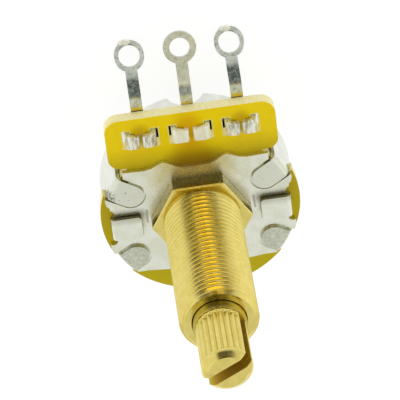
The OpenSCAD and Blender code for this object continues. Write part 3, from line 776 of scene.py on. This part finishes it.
def knurl_radius(z):
    """Radius of the shaft's end at height z: rounded teeth from the collar up, then the cone."""
    depth = KNURL_DEPTH * smooth_step((z - COLLAR_Z - 0.02) / TOOTH_RISE)
    depth *= smooth_step((KNURL_TOP_Z + 0.04 - z) / TOOTH_FADE)
    share = max(0, z - KNURL_TOP_Z) / (TIP_Z - KNURL_TOP_Z)
    if share < CONE_STRAIGHT_AT:
        drop = share ** CONE_BEND
    else:
        drop = CONE_DROP + CONE_SLOPE * (share - CONE_STRAIGHT_AT)
    cone = KNURL_R - (KNURL_R - TIP_R) * drop

    def radius(angle):
        valley = math.cos(KNURL_COUNT * (angle - KNURL_TURN) / 2) ** 2
        return min(KNURL_R - depth * valley, cone)
    return radius


def flat_radius(radius, flat):
    """A round of that radius with two flats that face -Y and +Y."""
    return lambda angle: min(radius, flat / max(abs(math.sin(angle)), 1e-6))


def make_shaft(material):
    """The shaft from the pip in the can to its tip, turned as one and then sawn."""
    neck = flat_radius(NECK_R, NECK_FLAT)
    groove_back, groove_front = GROOVE_Z
    rows = [(PIP_Z, PIP_R - 0.2), (PIP_Z + 0.2, PIP_R), (HEAD_Z, PIP_R)]
    rows += [(HEAD_Z, HEAD_R - 0.2), (HEAD_Z + 0.15, HEAD_R), (NECK_Z, HEAD_R)]
    rows += [(NECK_Z, neck), (SHOULDER_Z, neck), (SHOULDER_Z, SHAFT_R - 0.15)]
    rows += [(SHOULDER_Z + 0.15, SHAFT_R), (groove_back, SHAFT_R), (groove_back, GROOVE_R)]
    rows += [(groove_front, GROOVE_R), (groove_front, SHAFT_R)]
    rows += [(COLLAR_Z - 0.04, SHAFT_R), (COLLAR_Z, SHAFT_R - 0.04)]
    rows += [(COLLAR_Z + 0.005, knurl_radius(COLLAR_Z))]
    heights = [COLLAR_Z + 0.05 * i for i in range(1, 11)]
    heights += [COLLAR_Z + 0.8 + 0.4 * i for i in range(16)]
    heights += [KNURL_TOP_Z - 0.18 + 0.06 * i for i in range(18)]
    rows += [(z, knurl_radius(z)) for z in heights]
    rows += [(TIP_Z, knurl_radius(TIP_Z)), (TIP_Z, 1.2)]
    vertices, faces = lathe(rows, KNURL_COUNT * TOOTH_POINTS)
    shaft = new_piece("shaft_body", vertices, faces, material, "spindle", "shaft")
    bpy.ops.mesh.primitive_cube_add(size=1)
    cutter = bpy.context.object
    cutter.scale = (4 * KNURL_R * MM, SLOT_W * MM, 2 * SLOT_DEPTH * MM)
    cutter.rotation_euler.z = math.radians(SLOT_ANGLE)
    cutter.location.z = TIP_Z * MM
    cut = shaft.modifiers.new("slot", "BOOLEAN")
    cut.operation = "DIFFERENCE"
    cut.solver = "EXACT"
    cut.object = cutter
    apply_modifiers(shaft)
    bpy.data.objects.remove(cutter)
    shade(shaft.data, SHARP_CUT)


def make_lump(name, x, material):
    """A small uneven lump of tin on the far edge of an outer eye."""
    across, along = Vector((1, 0, 0)), LUG_DIRECTION
    up = across.cross(along)
    middle = EYE_MIDDLE + LUG_DIRECTION * LUMP_REACH + Vector((x, 0, 0)) + 0.1 * up
    ball = bmesh.new()
    bmesh.ops.create_icosphere(ball, subdivisions=4, radius=1)
    vertices = []
    for vertex in ball.verts:
        swell = 1 + 0.2 * noise.noise(vertex.co * 1.6 + Vector((x, 0, 0)))
        a, b, c = (value * swell * size for value, size in zip(vertex.co, LUMP_SIZE))
        vertices.append(middle + across * a + along * b + up * c)
    faces = [tuple(vertex.index for vertex in face.verts) for face in ball.faces]
    ball.free()
    new_piece(name, vertices, faces, material, "housing")


def apply_modifiers(piece):
    graph = bpy.context.evaluated_depsgraph_get()
    mesh = bpy.data.meshes.new_from_object(piece.evaluated_get(graph))
    piece.modifiers.clear()
    old = piece.data
    piece.data = mesh
    bpy.data.meshes.remove(old)


def soften(node, material, width):
    """Keeps a CAD node, gives it a material and rounds its edges by a width in millimetres."""
    piece = NODES[node]
    piece.data.materials.clear()
    piece.data.materials.append(material)
    weld = piece.modifiers.new("weld", "WELD")
    weld.merge_threshold = 1e-6
    flat = piece.modifiers.new("flat", "DECIMATE")
    flat.decimate_type = "DISSOLVE"
    flat.angle_limit = math.radians(0.5)
    if width:
        bevel = piece.modifiers.new("bevel", "BEVEL")
        bevel.width = width * MM
        bevel.segments = EDGE_STEPS
        bevel.limit_method = "ANGLE"
        bevel.angle_limit = math.radians(EDGE_ANGLE)
    normals = piece.modifiers.new("normals", "WEIGHTED_NORMAL")
    normals.weight = 50


def make_pieces():
    make_bushing(bushing_brass())
    make_shaft(shaft_brass())
    soften("front_plate", plated_steel(), 0.10)
    soften("can", can_steel(), 0.10)
    soften("board", yellow_laminate(), 0.05)
    side_tin = tin_plate(
        "side_tin", lug_shade=("Z", -6.95, -4.55, 0.4), lug_shade_strength=0.95, board_reflection_end=14.95, seam_shadow_strength=0.9,
        crimp_tones=((0.42, 0.42, 0.33), (0.92, 0.92, 0.80)), crimp_metal=0.8, striation=2.0,
        eye_grey=0.0)
    middle_tin = tin_plate(
        "middle_tin", lug_shade=("Y", 15.75, 17.0, 0.35), lug_shade_strength=0.55, board_reflection_end=14.75, seam_shadow_strength=0.3,
        crimp_tones=((0.84, 0.85, 0.64), (0.94, 0.95, 0.80)), crimp_metal=0.25, striation=0.3,
        eye_grey=0.55)
    lump_tin = bright_tin()
    for side, x in LUMP_X.items():
        make_lump("tin_lump_" + side, x, lump_tin)
    soften("terminal_left", side_tin, 0.05)
    soften("terminal_right", side_tin, 0.05)
    soften("terminal_middle", middle_tin, 0.05)
    soften("retaining_ring", dark_ring_steel(), 0.05)
    soften("rotor", brown_moulding(), 0.1)
    soften("wiper_spring", spring_bronze(), 0)
    soften("resistance_track", black_carbon(), 0)


make_camera()
make_world()
make_stage()
make_pieces()
bpy.context.scene.view_settings.view_transform = "Standard"
